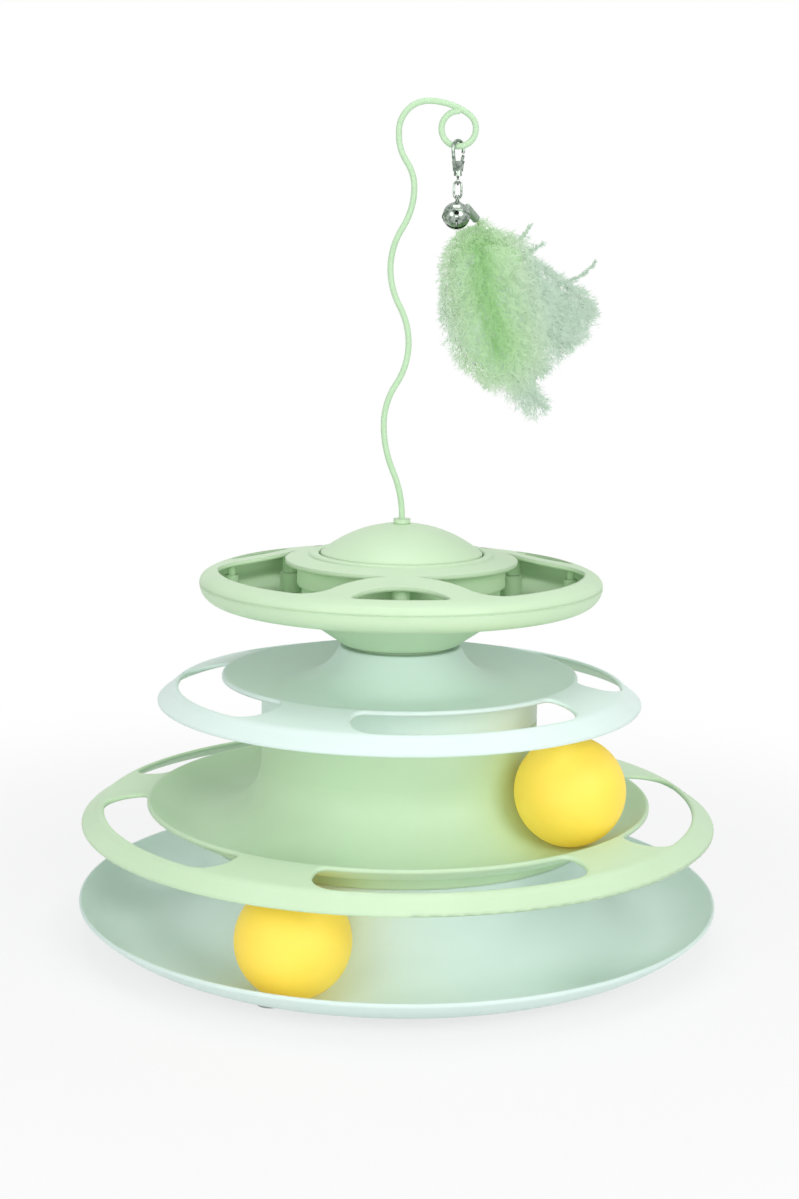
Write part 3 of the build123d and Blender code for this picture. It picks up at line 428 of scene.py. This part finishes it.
def smooth_run(points, spacing):
    """Places at even steps along a smooth run through points, and the directions there."""
    knots = np.array(points)
    far = np.concatenate([[0.0], np.cumsum(np.linalg.norm(np.diff(knots, axis=0), axis=1))])
    slopes = np.gradient(knots, far, axis=0)
    at = np.linspace(0.0, far[-1], int(far[-1] / spacing))
    left = np.clip(np.searchsorted(far, at, side="right") - 1, 0, len(far) - 2)
    span = (far[left + 1] - far[left])[:, None]
    s = (at - far[left])[:, None] / span
    places = (2 * s**3 - 3 * s**2 + 1) * knots[left] + (3 * s**2 - 2 * s**3) * knots[left + 1]
    places += span * ((s**3 - 2 * s**2 + s) * slopes[left] + (s**3 - s**2) * slopes[left + 1])
    return places, unit(np.gradient(places, axis=0))


def unit(vectors):
    """The vectors at length 1; one of no length stays as it is."""
    return vectors / np.maximum(np.linalg.norm(vectors, axis=-1, keepdims=True), LEAST_LENGTH)


def room_for(places, ways, envelope):
    """Distance in mm from each place along its way to the face of the feather's solid."""
    room = []
    for place, way in zip((places + DOWN_ROOT) * MM, ways):
        hit = envelope.ray_cast(Vector(place), Vector(way))
        room.append(hit[3] / MM if hit[0] is not None else 0.0)
    return np.array(room)


def barbs(run, lengths, rng, envelope=None):
    """Centre lines of the barbs along a shaft, leaning out of it and curling along it."""
    places, ahead = run
    count = len(places)
    turn = rng.uniform(0.0, 2 * math.pi, count)[:, None]
    across = unit(np.cross(ahead, DEPTH))
    out = unit((np.cos(turn) * across + np.sin(turn) * np.cross(across, ahead)) * FLATTEN)
    lean = rng.uniform(*BARB_LEAN, count)[:, None]
    start = unit(np.sin(lean) * out + np.cos(lean) * ahead)
    length = rng.uniform(*lengths, count)
    if envelope:
        room = room_for(places, start, envelope)
        length = np.minimum(length, room * rng.uniform(*ROOM_SHARE, count))
    length = length[:, None, None]
    s = np.linspace(0.0, 1.0, BARB_POINTS)[None, :, None]
    curl = rng.uniform(*BARB_CURL, count)[:, None, None]
    sway = unit(rng.normal(size=(count, 3)) * FLATTEN)[:, None, :]
    wave = WAVE_HEIGHT * np.sin(s * rng.uniform(*WAVE_TURN, count)[:, None, None])
    bend = ahead[:, None, :] - start[:, None, :]
    lines = places[:, None, :] + length * (s * start[:, None, :] + curl * s**2 * bend + wave * sway)
    clearing = np.minimum(1.0, CLEARING_RATE * s[:, :, 0])
    lines[:, :, 1] += CORE_HALF * np.sign(out[:, 1:2]) * clearing
    return lines


def puff(points):
    """Way out of the puff at each point, mostly to the front or the back."""
    front = np.sign(points[..., 1:2]) * FRONT_SHARE * np.array(DEPTH)
    return unit((points - DOWN_MIDDLE) / DOWN_HALF_SIZE**2 + front)


def ribbon(lines, width, rng):
    """Points and quads of strips along centre lines, narrowing to their tips and facing out of the puff."""
    count, steps, _ = lines.shape
    facing = puff(lines) + FACING_SCATTER * rng.normal(size=(count, 1, 3))
    side = unit(np.cross(np.gradient(lines, axis=1), facing))
    taper = np.linspace(*RIBBON_TAPER, steps)[None, :, None] * width
    points = np.stack([lines - side * taper, lines + side * taper], axis=2).reshape(-1, 3)
    first = (np.arange(count)[:, None] * steps + np.arange(steps - 1)[None, :]).reshape(-1, 1) * 2
    return points, first + np.array((0, 1, 3, 2))


def barbules(lines, rng):
    """Short threads all along each barb, as centre lines of three points."""
    count, steps, _ = lines.shape
    at = np.sort(rng.uniform(BARE_FOOT, steps - 1 - BARE_TIP, (count, BARBULES)), axis=1)
    left = at.astype(int)
    rows = np.arange(count)[:, None]
    share = (at - left)[:, :, None]
    roots = lines[rows, left] * (1 - share) + lines[rows, left + 1] * share
    ahead = unit(lines[rows, left + 1] - lines[rows, left])
    side = unit(np.cross(ahead, rng.normal(size=(count, BARBULES, 3))))
    start = unit(BARBULE_LEAN * ahead + side)
    taper = BARBULE_TAPER[0] - BARBULE_TAPER[1] * at[:, :, None] / steps
    length = rng.uniform(*BARBULE_LENGTH, (count, BARBULES, 1)) * taper
    reach = np.linalg.norm(lines[:, -1] - lines[:, 0], axis=1)[:, None, None]
    length = np.minimum(length, BARBULE_MOST * reach)
    middle = roots + BARBULE_KNEE * length * start
    onward = unit(start + TIP_LEAN * ahead + TIP_SCATTER * rng.normal(size=start.shape))
    tip = middle + (1 - BARBULE_KNEE) * length * onward
    return np.stack([roots, middle, tip], axis=2).reshape(-1, 3, 3)


def joined(strips):
    """All strips' points and quads as one set."""
    counts = [len(points) for points, _ in strips]
    firsts = np.cumsum([0] + counts[:-1])
    points = np.concatenate([points for points, _ in strips])
    faces = np.concatenate([faces + first for (_, faces), first in zip(strips, firsts)])
    return points, faces


def faced(faces, points, normals):
    """The quads with those that look against the normals turned round."""
    corner, after, before = (points[faces[:, k]] for k in (0, 1, 3))
    inward = np.sum(np.cross(after - corner, before - corner) * normals[faces[:, 0]], axis=1) < 0
    return np.where(inward[:, None], faces[:, ::-1], faces)


def plume_down():
    """The feather's down: shafts, barbs and barbules within the solid's outline, shaded as one puff."""
    rng = np.random.default_rng(DOWN_SEED)
    envelope = BVHTree.FromObject(nodes["feather_plume"], bpy.context.evaluated_depsgraph_get())
    spacing = BARB_SPACING
    lines = [barbs(smooth_run(shaft, spacing), BARB_LENGTH, rng, envelope) for shaft in SHAFTS]
    lines.append(barbs(smooth_run(TUFT, spacing), TUFT_LENGTH, rng))
    lines += [barbs(smooth_run(wisp, spacing), WISP_LENGTH, rng) for wisp in WISPS]
    lines = np.concatenate(lines)
    strips = [ribbon(lines, BARB_WIDTH, rng), ribbon(barbules(lines, rng), BARBULE_WIDTH, rng)]
    for shaft in SHAFTS + WISPS:
        places, _ = smooth_run(shaft, SHAFT_STEP)
        strips.append(ribbon(places[None], SHAFT_WIDTH, rng))
    points, faces = joined(strips)
    normals = puff(points)
    faces = faced(faces, points, normals)
    mesh = bpy.data.meshes.new("plume_down")
    mesh.from_pydata((points + DOWN_ROOT) * MM, [], faces.tolist())
    mesh.normals_split_custom_set_from_vertices(normals)
    down = bpy.data.objects.new("plume_down", mesh)
    bpy.context.scene.collection.objects.link(down)
    return down


def plume_core():
    """The matted middle of the down, drawn in from the solid's face."""
    bpy.ops.object.select_all(action="DESELECT")
    nodes["feather_plume"].select_set(True)
    bpy.context.view_layer.objects.active = nodes["feather_plume"]
    bpy.ops.object.duplicate()
    core = bpy.context.object
    core.name = "plume_core"
    bpy.ops.object.mode_set(mode="EDIT")
    bpy.ops.mesh.select_all(action="SELECT")
    bpy.ops.mesh.remove_doubles(threshold=MERGE_GAP)
    bpy.ops.object.mode_set(mode="OBJECT")
    middle = (DOWN_ROOT + DOWN_MIDDLE) * MM
    bpy.ops.transform.resize(value=CORE_SHRINK, center_override=middle.tolist())
    bpy.ops.object.transform_apply(location=False, rotation=False, scale=True)
    bpy.ops.object.modifier_add(type="REMESH")
    core.modifiers[-1].voxel_size = CORE_GRAIN
    bpy.ops.object.modifier_apply(modifier=core.modifiers[-1].name)
    bpy.ops.object.modifier_add(type="DISPLACE")
    core.modifiers[-1].strength = -CORE_INSET
    core.modifiers[-1].mid_level = 0.0
    bpy.ops.object.modifier_apply(modifier=core.modifiers[-1].name)
    bpy.ops.object.shade_smooth()
    return core


def dye(piece, material):
    """Gives a piece of down its tone, 0 in the bright streak to 1 at the pale edges, and rides it."""
    mesh = piece.data
    points = np.empty(len(mesh.vertices) * 3)
    mesh.vertices.foreach_get("co", points)
    points = points.reshape(-1, 3) / MM - DOWN_ROOT
    streak, _ = smooth_run(STREAK, SHAFT_STEP)
    away = (points[:, None, :] - streak[None]) * STREAK_WEIGHTS
    gap = np.min(np.linalg.norm(away, axis=2), axis=1)
    near, far = STREAK_REACH
    tone = np.clip((gap - near) / (far - near), 0.0, 1.0)
    mesh.attributes.new("tone", "FLOAT", "POINT").data.foreach_set("value", tone.astype(np.float32))
    mesh.materials.clear()
    mesh.materials.append(material)
    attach(piece, "feather")
    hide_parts("feather_plume")


down_dye = dyed_down()
for plume_piece in (plume_core(), plume_down()):
    dye(plume_piece, down_dye)


# Studio, in metres, radians and watts

# The floor keeps the shadow near the object and turns white between two distances from it
FLOOR_SIZE = 8.0
FLOOR_COLOUR = (0.85, 0.86, 0.86, 1.0)
FLOOR_WHITE_NEAR = 0.72
FLOOR_FADE = (0.16, 0.42)
WHITE = (1.0, 1.0, 1.0, 1.0)
WORLD_LIGHT = 0.45
LAMPS = {
    "key": {"place": (0.7, -0.95, 0.6), "aim": (0.0, 0.0, 0.06), "size": 0.7, "power": 5.1},
    "fill": {"place": (-0.75, -0.9, 0.5), "aim": (0.0, 0.0, 0.06), "size": 0.7, "power": 2.9},
    "front": {"place": (0.0, -1.3, 0.16), "aim": (0.0, 0.0, 0.08), "size": 0.6, "power": 2.4},
    "top": {"place": (0.05, 0.0, 1.3), "aim": (0.0, 0.0, 0.1), "size": 0.8, "power": 4.3},
}
CAMERA_PLACE = (0.0, -0.720405, 0.252457)
CAMERA_PITCH = 0.1703
CAMERA_YAW = -0.0007
CAMERA_ROLL = 0.0135
CAMERA_NEAR = 0.01
SENSOR_MM = 36.0
FOCAL_PIXELS = 1920.76
PHOTO_HEIGHT_PIXELS = 1199


def studio_floor():
    """Pale floor that keeps the shadow and fades to the white of the backdrop."""
    bpy.ops.object.select_all(action="DESELECT")
    bpy.ops.mesh.primitive_plane_add(size=FLOOR_SIZE, location=(0, 0, 0))
    floor = bpy.context.object
    floor.name = "studio_floor"
    finish = Finish("studio_floor", Base_Color=FLOOR_COLOUR, Roughness=0.9)
    across = finish.part("X")
    along = finish.part("Y")
    away = (across * across + along * along) ** 0.5
    share = FLOOR_WHITE_NEAR + away.between(*FLOOR_FADE) * (1 - FLOOR_WHITE_NEAR)
    blank = finish.node("ShaderNodeEmission", {}, {"Color": WHITE, "Strength": 1.0})
    shaded = Value(finish, finish.shader.outputs[0])
    both = finish.node("ShaderNodeMixShader", {}, {0: finish.looked_at() * share, 1: shaded, 2: blank})
    finish.feed(finish.tree.nodes["Material Output"].inputs["Surface"], both)
    floor.data.materials.append(finish.material)


def studio_world():
    """White to the eye and in gloss, softer as a light."""
    world = bpy.data.worlds.new("studio")
    bpy.context.scene.world = world
    world.use_nodes = True
    graph = Graph(world.node_tree)
    backdrop = graph.tree.nodes["Background"]
    graph.feed(backdrop.inputs["Color"], WHITE)
    graph.feed(backdrop.inputs["Strength"], WORLD_LIGHT + graph.looked_at() * (1 - WORLD_LIGHT))


def lamp(name, place, aim, size, power):
    """A round soft lamp that looks at its aim."""
    light = bpy.data.lights.new(name, "AREA")
    light.shape = "DISK"
    light.size = size
    light.energy = power
    holder = bpy.data.objects.new(name, light)
    bpy.context.scene.collection.objects.link(holder)
    holder.location = place
    holder.rotation_euler = (Vector(aim) - Vector(place)).to_track_quat("-Z", "Y").to_euler()


def studio_camera():
    """Camera at the photograph's place: pitch, yaw and a slight roll."""
    level = Vector((math.cos(CAMERA_YAW), -math.sin(CAMERA_YAW), 0.0))
    forward = Vector((math.sin(CAMERA_YAW), math.cos(CAMERA_YAW), 0.0))
    ahead = math.cos(CAMERA_PITCH) * forward - math.sin(CAMERA_PITCH) * Vector((0.0, 0.0, 1.0))
    above = level.cross(ahead)
    right = math.cos(CAMERA_ROLL) * level + math.sin(CAMERA_ROLL) * above
    up = math.cos(CAMERA_ROLL) * above - math.sin(CAMERA_ROLL) * level
    turn = Matrix((right, up, -ahead)).transposed().to_4x4()
    camera = bpy.data.cameras.new("camera")
    camera.sensor_fit = "AUTO"
    camera.sensor_width = SENSOR_MM
    camera.lens = FOCAL_PIXELS * SENSOR_MM / PHOTO_HEIGHT_PIXELS
    camera.clip_start = CAMERA_NEAR
    holder = bpy.data.objects.new("camera", camera)
    bpy.context.scene.collection.objects.link(holder)
    holder.matrix_world = Matrix.Translation(CAMERA_PLACE) @ turn
    bpy.context.scene.camera = holder


studio_floor()
studio_world()
for lamp_name, lamp_facts in LAMPS.items():
    lamp(lamp_name, **lamp_facts)
studio_camera()
bpy.context.scene.view_settings.view_transform = "Standard"
